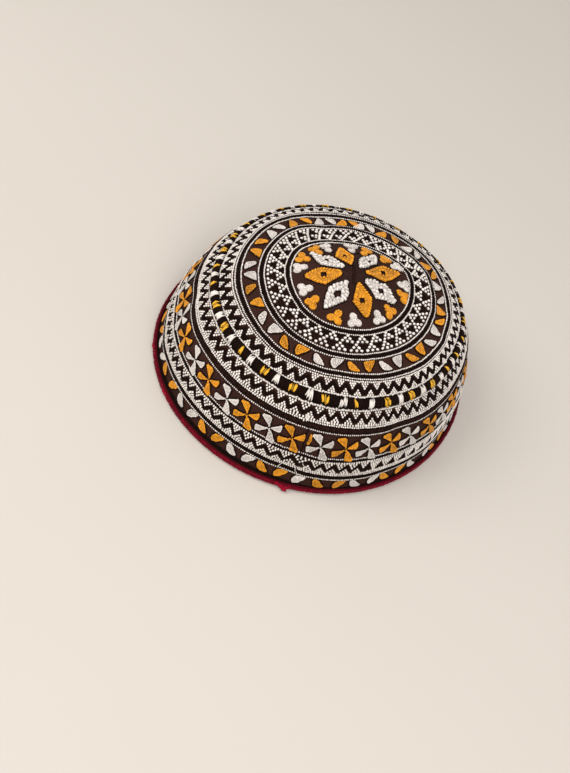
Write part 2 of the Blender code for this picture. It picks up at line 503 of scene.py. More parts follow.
@cache
def sewing_tree():
    """Sews one thread grain at each point of a mesh, along its run and out of its face."""
    tree = bpy.data.node_groups.new("sewing", "GeometryNodeTree")
    ports = {}
    for name, kind, value in SEWING_INPUTS:
        port = tree.interface.new_socket(name=name, in_out="INPUT", socket_type="NodeSocket" + kind)
        if value is not None:
            port.default_value = value
        ports[name] = port.identifier
    tree.interface.new_socket(name="Geometry", in_out="OUTPUT", socket_type="NodeSocketGeometry")
    net = Net(tree)
    entry = tree.nodes.new("NodeGroupInput")
    given = {name: Wire(net, entry.outputs[name]) for name in ports}

    ball = net.node("GeometryNodeMeshUVSphere", {}, {
        "Segments": given["Sides"], "Rings": given["Rings"], "Radius": 0.5})
    lying = net.node("GeometryNodeTransform", {}, {
        "Geometry": ball, "Rotation": (0.0, math.pi / 2, 0.0)})
    spot = net.node("GeometryNodeInputPosition")
    x, y, z = net.split(spot)
    blunt = (abs(x) * 2.0) ** given["Bluntness"] * x.reckon("SIGN") * 0.5
    sunk = z - given["Arch"] * blunt * blunt * 4.0
    named = net.node("GeometryNodeStoreNamedAttribute", {"data_type": "FLOAT_VECTOR"}, {
        "Geometry": lying, "Name": "fibre", "Value": spot})
    grain = net.node("GeometryNodeSetPosition", {}, {
        "Geometry": named,
        "Position": net.node("ShaderNodeCombineXYZ", {}, {0: blunt, 1: y, 2: sunk})})

    def carried(name):
        return net.node("GeometryNodeInputNamedAttribute", {"data_type": "FLOAT_VECTOR"},
                        {"Name": name}, "Attribute")

    def scattered(amount, salt):
        spread = net.node("ShaderNodeCombineXYZ", {}, {0: amount, 1: amount, 2: amount})
        return net.node("FunctionNodeRandomValue", {"data_type": "FLOAT_VECTOR"}, {
            "Min": net.vector("SCALE", spread, -1.0), "Max": spread, "Seed": given["Seed"] + salt})

    way = net.node("FunctionNodeAlignRotationToVector", {"axis": "X"}, {"Vector": carried("run")})
    way = net.node("FunctionNodeAlignRotationToVector", {"axis": "Z", "pivot_axis": "X"}, {
        "Rotation": way, "Vector": carried("face")})
    way = net.node("FunctionNodeRotateRotation", {"rotation_space": "LOCAL"}, {
        "Rotation": way, "Rotate By": scattered(given["Turn Jitter"], 0.0)})
    growth = net.vector("ADD", scattered(given["Size Jitter"], 7.0), (1.0, 1.0, 1.0))
    sewn = net.node("GeometryNodeInstanceOnPoints", {}, {
        "Points": given["Geometry"], "Instance": grain, "Rotation": way,
        "Scale": net.vector("MULTIPLY", carried("size"), growth)})
    real = net.node("GeometryNodeRealizeInstances", {}, {"Geometry": sewn})
    smooth = net.node("GeometryNodeSetShadeSmooth", {}, {"Geometry": real, "Shade Smooth": True})
    finished = net.node("GeometryNodeSetMaterial", {}, {
        "Geometry": smooth, "Material": given["Finish"]})
    tree.links.new(finished.socket, tree.nodes.new("NodeGroupOutput").inputs[0])
    return tree, ports


def put(name, data):
    """An object in the scene."""
    thing = bpy.data.objects.new(name, data)
    bpy.context.scene.collection.objects.link(thing)
    return thing


def settle(piece, node):
    """Tells the frame what the piece rides on and stands for."""
    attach(piece, BODY)
    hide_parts(node)


def sew(name, stitches, kind, thread, node, seed):
    """Sews the stitches as one plain mesh that stands for a part of the node."""
    angle, travel, heading, length, width, height, shade, lift = stitches.table()
    place, around, fall, face = sewn_frame(angle, travel, lift + STITCH_RISE * height)
    run = np.cos(heading)[:, None] * around + np.sin(heading)[:, None] * fall
    points = bpy.data.meshes.new(name + "_points")
    points.vertices.add(len(place))
    points.vertices.foreach_set("co", place.astype(np.float32).ravel())
    for label, values in zip(CARRIED, (run, face, np.stack([length, width, height], 1))):
        layer = points.attributes.new(label, "FLOAT_VECTOR", "POINT")
        layer.data.foreach_set("vector", values.astype(np.float32).ravel())
    tint = points.attributes.new("shade", "FLOAT", "POINT")
    tint.data.foreach_set("value", np.clip(shade, 0, 1).astype(np.float32))
    piece = put(name, points)

    tree, ports = sewing_tree()
    modifier = piece.modifiers.new("sewing", "NODES")
    modifier.node_group = tree
    for (label, _, _), value in zip(SEWING_INPUTS[1:], (*GRAINS[kind], seed, finish(thread))):
        modifier[ports[label]] = value
    evaluated = piece.evaluated_get(bpy.context.evaluated_depsgraph_get())
    mesh = bpy.data.meshes.new_from_object(evaluated)
    piece.modifiers.remove(modifier)
    piece.data = mesh
    mesh.name = name
    bpy.data.meshes.remove(points)
    for label in CARRIED:
        if label in mesh.attributes:
            mesh.attributes.remove(mesh.attributes[label])
    if not mesh.materials:
        mesh.materials.append(finish(thread))
    settle(piece, node)


class Paint(Net):
    """A new material and its shader, with what its finish is mixed from."""

    def __init__(self, name):
        self.material = bpy.data.materials.new(name)
        self.material.use_nodes = True
        super().__init__(self.material.node_tree)
        self.spot = self.node("ShaderNodeTexCoord", {}, {}, "Object")

    def noise(self, scale, detail):
        return self.node("ShaderNodeTexNoise", {}, {
            "Vector": self.spot, "Scale": scale, "Detail": detail}, "Fac")

    def attribute(self, name, output="Fac"):
        return self.node("ShaderNodeAttribute", {"attribute_name": name}, {}, output)

    def mix(self, share, first, second, blend="MIX"):
        """Two colours mixed."""
        first, second = (value if isinstance(value, Wire) else (*value, 1.0)
                         for value in (first, second))
        return self.node("ShaderNodeMix", {"data_type": "RGBA", "blend_type": blend},
                         {0: share, 6: first, 7: second}, "Result")

    def done(self, colour, roughness, bump, **values):
        """Feeds the shader: bump is a strength, a distance and a height."""
        normal = self.node("ShaderNodeBump", {}, dict(zip(("Strength", "Distance", "Height"), bump)))
        values = {name.replace("_", " "): value for name, value in values.items()}
        self.fill(self.tree.nodes["Principled BSDF"], {
            "Base Color": colour, "Roughness": roughness, "Normal": normal, **values})
        return self.material


def thread_finish(name, dark, light, roughness, sheen, gloss):
    """Twisted thread: tone changes from stitch to stitch, and strands wind along each one. Painted shade
    darkens each grain towards its foot and in the grooves of its twist.
    """
    paint = Paint(name)
    x, y, z = paint.split(paint.attribute("fibre", "Vector"))
    strands = ((x * 5.0 + y * 4.0 + z * 2.0) * 2 * math.pi).reckon("SINE") * 0.5 + 0.5
    fuzz = paint.noise(2600.0, 2.0)
    # Painted shade and highlight: the strands darken the grooves and lighten the ridges of the twist in
    # the colour, besides their bump; shade, patches and fuzz change the tone at random.
    tone = (paint.attribute("shade") * 0.72 + paint.noise(90.0, 2.0) * 0.30
            + strands * 0.22 + fuzz * 0.14 - 0.18)
    # Painted shade: the colour of each grain is scaled down towards its foot, where it sinks into the
    # cloth, for the shadow between stitches.
    depth = paint.node("ShaderNodeMapRange", {}, {
        "Value": z, "From Min": -0.45, "From Max": 0.70, "To Min": 0.18, "To Max": 1.16})
    return paint.done(
        paint.vector("SCALE", paint.mix(tone, dark, light), depth), roughness - 0.08 + fuzz * 0.16,
        (0.35, 0.0001, strands * 0.7 + fuzz * 0.5),
        Sheen_Weight=sheen, Sheen_Roughness=0.45, Specular_IOR_Level=gloss)


def cloth_finish(brown, black):
    """Close-woven ground cloth: brown under the leaves and petals, black under the rings."""
    paint = Paint("ground_cloth")
    u, v, _ = paint.split(paint.node("ShaderNodeUVMap", {"uv_map": "cloth"}))
    wobble = paint.noise(260.0, 1.0)
    warp = (u * (2 * math.pi / WARP_PITCH) + wobble * 2.2).reckon("SINE")
    weft = (v * (2 * math.pi / WEFT_PITCH) + warp * 1.3 + wobble * 2.5).reckon("SINE")
    weave = (warp * 0.5 + 0.5) * (weft * 0.3 + 0.7)
    fuzz = paint.noise(1400.0, 3.0)
    base = paint.mix(paint.attribute("field"), black, brown)
    dim = paint.mix(1.0, base, (0.30, 0.26, 0.26), "MULTIPLY")
    lit = paint.mix(1.0, base, (4.2, 3.8, 3.7), "MULTIPLY")
    tone = weave * 0.75 + fuzz * 0.7 + paint.noise(60.0, 2.0) * 0.4 - 0.40
    return paint.done(paint.mix(tone, dim, lit), 0.78 + fuzz * 0.14,
                      (0.8, 0.0004, weave * 0.6 + fuzz * 0.6),
                      Sheen_Weight=0.0, Specular_IOR_Level=0.12)


def floor_finish(colour):
    """A plain pale painted floor with a very faint unevenness."""
    paint = Paint("pale_floor")
    grit = paint.noise(700.0, 2.0)
    dark = [share * 0.93 for share in colour]
    return paint.done(paint.mix(paint.noise(4.0, 3.0) * 0.7 + grit * 0.3, dark, colour),
                      0.6 + grit * 0.15, (0.08, 0.0003, grit))


@cache
def finish(name):
    """The finish of that name, made once from the settings."""
    given = bpy.context.scene.skullcap
    if name == "ground":
        return cloth_finish(given.brown, given.black)
    if name == "floor":
        return floor_finish(given.floor)
    dim, lit, *rest = THREADS[name][:-1]
    tone = np.array(getattr(given, name.split("_")[0]))
    return thread_finish(name + "_thread", tone * dim, np.minimum(tone * lit, 1.0), *rest)


WARP_PITCH = 1.05 * MM
WEFT_PITCH = 1.45 * MM
THREADS = {
    # name: darkest and lightest share of its colour, roughness, sheen, gloss, slot
    "white": (0.64, 1.20, 0.55, 0.10, 0.25, "white_thread"),
    "white_silk": (0.50, 1.03, 0.55, 0.10, 0.25, "white_thread"),
    "white_braid": (0.50, 1.04, 0.50, 0.10, 0.25, "white_thread"),
    "orange": (0.46, 1.42, 0.50, 0.08, 0.25, "orange_thread"),
    "yellow": (0.44, 1.26, 0.50, 0.08, 0.25, "orange_thread"),
    "black": (0.28, 1.75, 0.80, 0.0, 0.06, "black_thread"),
    "brown": (0.55, 2.60, 0.85, 0.0, 0.06, "black_thread"),
    "crimson": (0.36, 1.95, 0.85, 0.05, 0.06, "binding_braid"),
}
SILKS = {"white": "white_silk", "orange": "orange"}

# Cloth and cores, made as rings of points
ROUND = np.arange(CLOTH_COLUMNS) / CLOTH_COLUMNS * 2 * math.pi
WEAVE_RADIUS = 0.078
CLOTH_ROW = 1.8 * MM
BORDER = 0.05 * MM
BROWN_FIELDS = (
    # first and last place down the cloth, how brown it is
    (-1, 33.0, 1.0),
    (51.0, 58.3, 0.72),
    (89.2, 101.2, 0.72),
    (115.8, 121.4, 0.75),
)


def skin(name, rings, closed, paint, sharp, node, cloth=None):
    """A smooth surface through rings of points, the last joined to the first if it is closed.
    Cloth holds each ring's place down the cloth and how brown it is there."""
    rows, columns = rings.shape[:2]
    row, column = np.meshgrid(np.arange(rows - 1 + closed), np.arange(columns), indexing="ij")
    corners = ((row, column), (row + 1, column), (row + 1, column + 1), (row, column + 1))
    faces = np.stack([down % rows * columns + along % columns for down, along in corners], -1)
    mesh = bpy.data.meshes.new(name)
    mesh.from_pydata(rings.reshape(-1, 3).tolist(), [], faces.reshape(-1, 4).tolist())
    if cloth:
        travels, brown = cloth
        tone = mesh.attributes.new("field", "FLOAT", "POINT")
        tone.data.foreach_set("value", np.repeat(brown, columns).astype(np.float32))
        spots = np.stack([np.stack([along / columns * 2 * math.pi * WEAVE_RADIUS,
                                    travels[down % rows]], -1) for down, along in corners], 2)
        weave = mesh.uv_layers.new(name="cloth")
        weave.data.foreach_set("uv", spots.astype(np.float32).ravel())
    form = bmesh.new()
    form.from_mesh(mesh)
    bmesh.ops.remove_doubles(form, verts=form.verts, dist=1e-6)
    bmesh.ops.dissolve_degenerate(form, edges=form.edges, dist=1e-7)
    bmesh.ops.recalc_face_normals(form, faces=form.faces)
    form.to_mesh(mesh)
    form.free()
    mesh.materials.append(finish(paint))
    mesh.shade_smooth()
    mesh.set_sharp_from_angle(angle=math.radians(sharp))
    settle(put(name, mesh), node)


def cloth_shell(name, first, last, wall, node):
    """The ground cloth from one place to another, brown or black field by field."""
    borders = [edge * MM for row in BROWN_FIELDS for edge in row[:2]]
    travels = np.array(sorted({
        *np.arange(first, last, CLOTH_ROW).round(6), first, last,
        *(edge + side for edge in borders for side in (-BORDER, BORDER) if first < edge < last)}))
    brown = np.zeros(len(travels))
    for low, high, share in BROWN_FIELDS:
        brown[(travels > low * MM) & (travels < high * MM)] = share
    angle, travel = np.meshgrid(ROUND, travels)
    outer = sewn_spot(angle, travel, np.zeros_like(travel))[0]
    inner = cloth_point(angle, travel + drift(angle, travel), np.full_like(travel, -wall))[0]
    skin(name, np.concatenate([outer, inner[::-1]]), first > 0, "ground", 60, node,
         [np.concatenate([values, values[::-1]]) for values in (travels, brown)])


def ring_of_section(name, section, paint, node):
    """A closed ring with that section: travel and offset of each corner, in metres."""
    section = np.array(section)
    angle, travel = np.meshgrid(ROUND, section[:, 0])
    offset = np.repeat(section[:, 1:], CLOTH_COLUMNS, axis=1)
    skin(name, cloth_point(angle, travel, offset)[0], True, paint, 50, node)


# The chart of the embroidery. Places are millimetres down the cloth and angles are degrees.
DOTTED_ROWS = (
    # name, place, size of its beads as a share
    ("medallion_edge", 33.6, 0.84),
    ("lattice_top", 36.7, 0.84),
    ("lattice_foot", 47.8, 0.84),
    ("crown_leaf_top", 50.7, 0.80),
    ("crown_leaf_foot", 58.8, 0.80),
    ("upper_zigzag_top", 61.7, 0.80),
    ("upper_zigzag_second", 63.1, 0.92),
    ("upper_zigzag_foot", 70.7, 0.92),
    ("middle_zigzag_top", 76.8, 0.92),
    ("middle_zigzag_last", 85.2, 0.92),
    ("pinwheel_top", 88.95, 0.72),
    ("pinwheel_foot", 101.35, 0.72),
    ("lower_zigzag_foot", 111.1, 0.96),
    ("lower_zigzag_last", 112.1, 0.92),
    ("rim_leaf_top", 115.4, 0.76),
)
BLACK_BANDS = (
    # name, places of its rows of stitches
    ("medallion_band", (34.65, 35.75)),
    ("lattice_band", (48.75, 49.85)),
    ("crown_leaf_band", (59.75, 60.75)),
    ("pinwheel_band_top", (86.15,)),
    ("pinwheel_band_foot", (88.05,)),
    ("pinwheel_line", (102.5,)),
    ("rim_band", (113.2, 114.35)),
    ("binding_line", (122.0, 122.9)),
)
CROSS_BAND = ("pinwheel_band", 87.1, 2.0)

ZIGZAGS = (
    # name, crest, trough, length of a stitch across its line, spacing of the beads as a share of
    # the repeat, rows that hang, rows that stand, crests in sight, number in all
    ("upper_zigzag", 65.9, 68.5, 2.8, 0.195, (None, 64.2, 65.3, 66.4), (None, 69.65, 68.6, 67.55),
     (258.1, 263.75, 269.4, 275, 280.3, 285.9, 291.6, 297.2, 302.8, 308.4, 314.4, 320.3, 326.3,
      332.5, 338.4, 345, 350.3, 356.3, 363.8), 64),
    ("middle_zigzag", 79.6, 81.9, 2.1, 0.225, (None, 77.95, 79.05, 80.15),
     (84.15, 83.1, 82.05, 81.0), (248.75, 253.75, 258.75, 263.4, 268.1, 273.1, 277.8, 282.5, 287,
                                  292.5, 297.5, 301.9, 306.9, 311.9,
      316.3, 321.3, 326.3, 331.3, 336.6, 341.3, 347.2, 353.1, 358.8), 74),
    ("lower_zigzag", 106.2, 108.9, 1.5, 0.255, (103.6, 104.8, 106.0, 107.2),
     (None, 110.1, 109.2, 108.2), (245.9, 250.3, 254.4, 258.4, 262.8, 267.2, 271.3, 275, 279.4,
                                   283.4, 288.1, 292.5, 298.75, 302.9, 307,
      311.6, 315.9, 320, 324.7, 329.7, 335, 340, 344.7, 350), 86),
)
LONE_TRIANGLES = (318.0, 372.0)
TRIANGLE_BEAD = 1.08
LONE_BEAD = 0.98
FOOT_SPACING = 0.2

LATTICE_TIPS = (199.5, 211.5, 223, 235.5, 247, 259, 269, 279, 290, 301, 312.5, 324, 336, 348.5,
                360.5, 373, 386, 399.5, 411, 420, 428.5, 437, 446.5, 456, 467, 477, 488, 500, 512,
                524, 535.5, 547)
LATTICE_ROWS = ((37.6, 39.1, 40.8), (42.5, 44.1, 45.9))

CROWN_LEAVES = (
    # colour, angle of the left leaf, angle of the right leaf
    ("white", 215, 223.6), ("orange", 233.5, 243.6), ("white", 253, 261.7), ("orange", 270, 278.5),
    ("white", 288, 297), ("orange", 306, 315.4), ("white", 325, 334.7), ("orange", 345, 355),
    ("white", 4.8, 15.3), ("orange", 24.8, 33), ("white", 42, 52), ("orange", 60.4, 67.4),
    ("white", 77, 83.5), ("orange", 93, 101), ("white", 108.5, 115), ("orange", 118.5, 126),
    ("white", 133, 142), ("orange", 150.5, 162), ("white", 172.5, 182), ("orange", 192.6, 203),
)
LEFT_LEAF = ((0.2, 1.1), (0.9, 0.6), (1.9, 0.8), (4.2, 3.0), (6.1, 5.4), (5.9, 5.9), (3.9, 6.1),
             (2.0, 5.7), (0.8, 4.3), (0.2, 2.4))
RIGHT_LEAF = ((0.3, 0.5), (2.2, 0), (6.3, 0.0), (5.9, 1.2), (4.2, 3.8), (2.6, 5.9), (1.9, 5.9),
              (0.6, 4.1), (0.1, 1.9))
CROWN_OUTLINES = (LEFT_LEAF, RIGHT_LEAF)
LEAF_WIDTH = 7.0
LEAF_TOP = 51.6

PINWHEELS = (220, 228.5, 238.1, 248.1, 256.6, 265.6, 273.8, 282, 290.1, 300, 308.8, 317.5, 326.9,
             335.9, 346.6, 356.3, 365.6)
PINWHEEL_COUNT = 40
PINWHEEL_TRAVEL = 95.6
PETALS = (
    ((0.1, -0.3), (-0.7, -4.6), (-2.1, -5.5), (-5.6, -4.8), (-5.6, -3.8), (-1, -1)),
    ((0.8, -0.3), (2.1, -1.3), (5.3, -3.6), (6.1, -2.2), (5.9, -0.2), (3.8, 0.2), (1.2, 0)),
    ((0, 0.4), (0.4, 1.3), (0.7, 3.2), (1, 6.2), (4.9, 6.5), (5.2, 5.2), (2.1, 1.5)),
    ((-0.4, 0.4), (-2.1, 1), (-6.3, 1.5), (-6.6, 2.5), (-5.7, 4.5), (-3.5, 3.7), (-1, 1.5)),
)

JOIN_TOP, JOIN_FOOT = 88.0, 113.0
JOIN_SLIVER = ((0.2, 0), (1.1, 0.6), (1.5, 3.2), (1.1, 5.2), (0, 5.4))
DEGREE_LENGTH = 1.45
LOOSE_THREADS = (
    # degrees round the cap and millimetres down it, point by point
    ((291.0, 109.0), (290.6, 111.2), (290.2, 113.0), (289.7, 115.0)),
    ((294.2, 110.2), (295.0, 112.0), (295.6, 113.8), (296.8, 115.6)),
    ((296.6, 107.2), (297.6, 108.6), (298.8, 109.6)),
)

RIM_LEAVES = (
    ("orange", 238.5, 245.9), ("white", 251.8, 258), ("orange", 263.3, 269.3),
              ("white", 274.8, 280.6),
    ("orange", 285.5, 291.4), ("white", None, 297.5), ("orange", 304.2, 311.3),
              ("white", 317.3, 324.4),
    ("orange", 329.3, 336.6), ("white", 342.5, 352),
)
RIM_LEAF_STEP = 12.1
RIM_LEFT_LEAF = ((0.3, 0.3), (1.9, 0), (4.1, 1.9), (6.4, 4.5), (5.0, 5.3), (2.5, 5.1), (0.7, 4.0),
                 (0, 2))
RIM_RIGHT_LEAF = ((0, 2.8), (1.2, 0.8), (3.4, 0), (6.5, 0), (6.1, 1.5), (3.4, 4.2), (1.2, 5.2),
                  (0.2, 4.5))
RIM_LEAF_TOP = 116.0
RIM_OUTLINES = (RIM_LEFT_LEAF, RIM_RIGHT_LEAF)
RIM_LEAF_WIDTH = 6.3

BRAID_YELLOW = (212.8, 223.8, 235.6, 246.8, 259, 270.9, 282.8, 295.6, 308.1, 322.2, 335.3, 349,
                362.8)
BRAID_SHAPES = ("bar", "bar", "hoop", "loop", "bar", "hoop", "hoop", "hoop", "bar", "loop", "loop",
                "loop", "bar")
BRAID_WHITE = (229.7, 241.3, 252.5, 264.1, 276.1, 289.4, 302.8, 314.7, 329, 342.2, 356.3, 368.8)
BRAID_COUNT = 30
BRAID_CORNERS = 16
BAR_STRANDS = ((-0.4, 0.5), (0.0, 0.7), (0.4, 0.5))
RING_STRANDS = ((-1.1, 0.6), (-0.72, 0.6), (0.0, -1.1), (0.72, 0.6), (1.1, 0.6))
KNOTS_OF_BRAID = (
    # degrees round the cap, millimetres down it, loops of crimson thread
    (294.0, 125.0, 28), (245.5, 124.8, 6), (226.0, 124.8, 5),
)
FUZZ_HAIRS = 1100

# The medallion, seen from above, x to the right and y away from the viewer
LOZENGES = (
    # colour, outline, centre and half sizes of the diamond hole
    ("white", ((0.5, -6), (2, -9), (5, -12), (6.5, -16.5), (4.5, -21.5), (2.5, -26), (1.2, -27.5),
               (-0.5, -25), (-2.5, -21), (-4.2, -16.5), (-3.5, -12.5), (-1.5, -8.5)),
     (1.2, -16.5, 2.1, 3.0)),
    ("orange", ((4.8, -2.5), (6.5, -2.5), (16.2, -5), (19, -9.5), (21.2, -14.5), (21, -16.8),
                (18.5, -17.2), (9.5, -14.8), (7.5, -10.5), (5, -5)), (12.8, -10.8, 2.1, 2.1)),
    ("white", ((6, 3), (9.5, 7.5), (13, 8.5), (14.5, 11), (19.5, 11), (22.5, 9), (26, 8.7),
               (26.8, 5.5), (25, 3.5), (23, 3), (21, 0.5), (18, -2.7), (15, -1.5), (12.5, -0.5),
               (7.5, 0.5)), (16.8, 4.2, 2.5, 2.5)),
    ("orange", ((2.5, 7.5), (4.2, 6.7), (6.5, 8.5), (10, 10.2), (13.5, 12.5), (14.7, 17.5),
                (15, 25.5), (13, 26.2), (10.5, 24.2), (6, 21.5), (4.5, 17.5), (3.5, 11.5)),
     (9, 16.2, 1.8, 1.8)),
    ("white", ((-0.7, 7), (1, 9.5), (1.2, 13), (3.1, 19), (1, 24.5), (-1, 27.2), (-3, 25), (-3, 21),
               (-4.5, 17.5), (-4.7, 13.5), (-3, 10)), (-0.2, 16.5, 0.9, 1.8)),
    ("orange", ((-5, 5.5), (-15.5, 5.5), (-17, 9.5), (-19.2, 17.5), (-17.5, 18), (-12.5, 15.5),
                (-8, 14), (-6.2, 10)), (-12, 10.2, 1.5, 1.5)),
    ("white", ((-7.5, 2), (-7.2, -0.5), (-11.5, -3.5), (-17.5, -6.5), (-21, -5.5), (-25, -3),
               (-28.5, 0), (-24, 0.5), (-20.5, 1), (-19, 3), (-16, 3.5), (-11.5, 2.5)),
     (-17.5, -1.2, 1.5, 1.5)),
    ("orange", ((-7.5, -3.2), (-5, -4), (-4.2, -6), (-5.5, -12), (-6.5, -16), (-10.5, -18),
                (-17.5, -19.5), (-19.2, -18), (-18.2, -13.5), (-17, -10), (-14.5, -7.5),
                (-10.5, -5.5)),
     (-11.5, -11.8, 2.1, 2.1)),
)
LOOPS = {"white": (2.7, 1.7, 1.6), "orange": (2.2, 1.3, 1.3)}
ROPE_SLANT = 48.0
UNDERLAY = (1.6, 1.0)
LOBE_FLANKS = (-65, 65)
# The heading of a crease across the middle of the medallion, whose shade is painted with two lines of
# dark stitches
CREASE_HEADING = 122.0
TREFOILS = (
    # colour, the middles of its three lobes
    ("orange", (-5, -25.5), (-6.8, -29.8), (-3.2, -30.2)),
    ("orange", (8, -24.5), (11.2, -29), (6.2, -29.3)),
    ("white", (-11, -23), (-15.5, -25.5), (-12, -28)),
    ("white", (-23, -13), (-27.2, -15), (-24.5, -18)),
    ("orange", (-26, -6.8), (-31, -4.5), (-29.5, -10.5)),
    ("orange", (-24, 2.5), (-29.5, 7.5), (-30, 3)),
    ("white", (-21.5, 8.5), (-26.5, 15.5), (-27.5, 11)),
    ("white", (-11.5, 18.5), (-18.5, 26), (-14, 28.5)),
    ("orange", (-6, 21.5), (-9, 30), (-5.5, 29)),
    ("orange", (3.7, 26), (2, 31), (5.5, 30.5)),
    ("white", (9.5, 26.5), (10, 31), (13, 30)),
    ("white", (19, 19.5), (20.5, 24), (23.5, 21.5)),
    ("orange", (22.5, 15.5), (26.2, 18), (28.7, 13.5)),
    ("orange", (25.5, -1), (29.7, 1.7), (30, -4.5)),
    ("white", (23.7, -9.5), (28.5, -9.7), (26.5, -14.5)),
    ("white", (14.5, -21.2), (19.5, -22.5), (16.5, -25.7)),
)


def round_the_cap(known, count):
    """The known angles, then even ones through the part that isn't charted."""
    left = count - len(known)
    step = (known[0] + 360 - known[-1]) / (left + 1)
    return np.append(known, known[-1] + step * np.arange(1, left + 1))


def ring_count(travel, pitch):
    """How many stitches of a pitch go once round the cap."""
    angles = np.linspace(0, 2 * math.pi, 73)[:-1]
    return round(2 * math.pi * ring_radius(angles, travel * MM).mean() / (pitch * MM))


def evenly(count, start=0.0):
    """Even angles once round the cap."""
    return (np.arange(count) + start) * 360 / count


def centred(count):
    """Steps of one on both sides of a middle."""
    return np.arange(count) - (count - 1) / 2


def node_at(place):
    return "crown" if place * MM < SEAM_TRAVEL else "side_band"


def colour(name, description, default):
    return bpy.props.FloatVectorProperty(
        name=name, description=description, subtype="COLOR", default=default, min=0, max=1)


def stitch_size(name, description, default, least):
    return bpy.props.FloatProperty(
        name=name, description=description + ", in mm", default=default, min=least, max=5)


# The add-on
class SkullcapSettings(bpy.types.PropertyGroup):
    """Sizes and colours of the embroidery."""

    white: colour("White silk", "Colour of the white thread", (0.83, 0.755, 0.69))
    orange: colour("Orange silk", "Colour of the orange thread", (0.69, 0.271, 0.0030))
    yellow: colour("Yellow silk", "Colour of the yellow thread in the braid", (0.74, 0.38, 0.012))
    black: colour("Black thread", "Colour of the black thread", (0.0100, 0.0034, 0.0019))
    brown: colour("Brown ground", "Colour of the cloth between leaves and petals",
                  (0.0155, 0.0060, 0.0042))
    crimson: colour("Crimson braid", "Colour of the braid round the rim", (0.175, 0.0010, 0.0115))
    floor: colour("Floor", "Colour of the floor", (0.49, 0.449, 0.402))
    bead_pitch: stitch_size("Bead pitch", "Distance between the stitches of a dotted row", 1.17, 0.5)
    bead_length: stitch_size("Bead length", "Length of a bead stitch", 1.12, 0.3)
    bead_width: stitch_size("Bead width", "Width of a bead stitch", 1.08, 0.2)
    bead_height: stitch_size("Bead height", "Height of a bead stitch", 0.95, 0.2)
    silk_length: stitch_size("Silk stitch length", "Length of a stitch in leaves and petals", 1.45, 0.3)
    silk_width: stitch_size("Silk stitch width", "Width of a stitch in leaves and petals", 0.60, 0.2)


class CapOperator:
    """What the sewing operators share."""

    bl_options = {"REGISTER", "UNDO"}
    seed = 1

    def execute(self, context):
        self.noise = np.random.default_rng(self.seed)
        self.given = context.scene.skullcap
        self.grain = (self.given.silk_length, self.given.silk_width)
        self.work()
        return {"FINISHED"}

    def tones(self, count, middle=0.5, spread=0.2):
        return middle + self.noise.normal(0, spread, count)

    def beads(self, stitches, angle, travel, heading, scale=1.0):
        """Bead stitches at these places."""
        angle, travel, heading = np.broadcast_arrays(angle, travel, heading)
        count = angle.size
        size = np.array((self.given.bead_length, self.given.bead_width, self.given.bead_height))
        stitches.lay(angle.ravel() + self.noise.normal(0, 0.04, count),
                     travel.ravel() + self.noise.normal(0, 0.06, count), heading.ravel(),
                     size * scale, self.tones(count))


class SKULLCAP_OT_cloth(CapOperator, bpy.types.Operator):
    """Cuts the ground cloth of the crown and the side band"""

    bl_idname = "skullcap.cloth"
    bl_label = "Ground cloth"

    def work(self):
        cloth_shell("crown_cloth", 0.0, SEAM_TRAVEL - SEAM_GAP / 2, CROWN_WALL, "crown")
        cloth_shell("band_cloth", SEAM_TRAVEL + SEAM_GAP / 2, CLOTH_LENGTH, BAND_WALL, "side_band")


